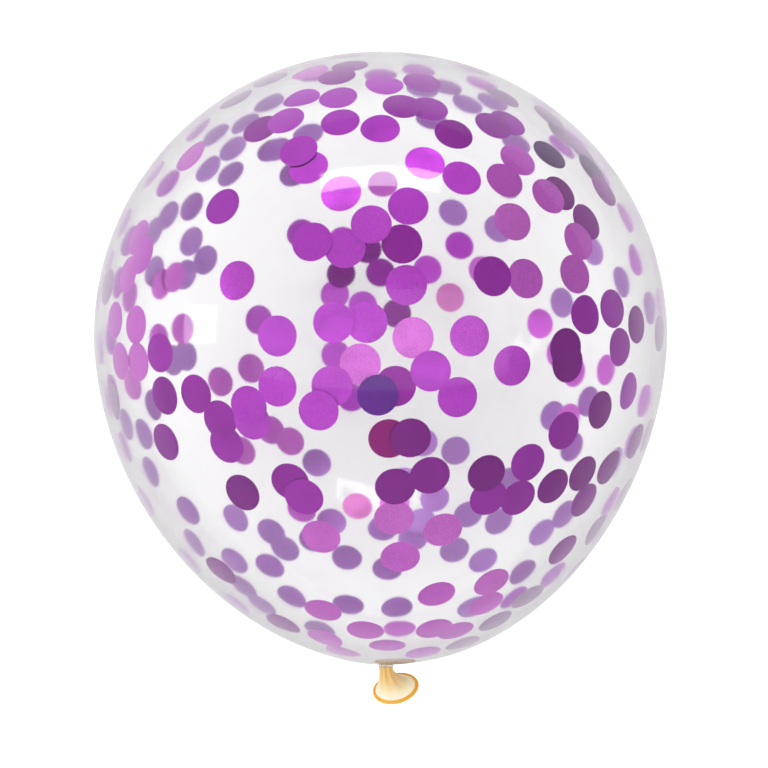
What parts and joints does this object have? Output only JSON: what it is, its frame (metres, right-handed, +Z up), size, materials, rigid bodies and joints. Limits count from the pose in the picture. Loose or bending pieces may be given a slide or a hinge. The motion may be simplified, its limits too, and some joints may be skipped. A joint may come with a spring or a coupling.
{
  "type": "confetti balloon",
  "caption": "Blown-up clear latex balloon holding purple foil confetti, round with a gathered neck and an open rolled lip, lying on its side as a loose party decoration.",
  "frame": {"origin": "middle of the small flat spot that the balloon lies on, below the widest belt", "axes": "+Y along the crown's axis towards the crown, so the neck is at -Y; +Z up; +X towards the side that the tail hangs out to"},
  "size_m": [0.31, 0.3558, 0.3074],
  "materials": {
    "clear_latex": "glossy, see-through and colourless",
    "natural_latex": "glossy, translucent amber where the rubber is gathered and unstretched",
    "purple_foil": "metallised film, satin and finely grained"
  },
  "bodies": {
    "root": {"latex_balloon": "clear_latex"}
  },
  "joints": []
}
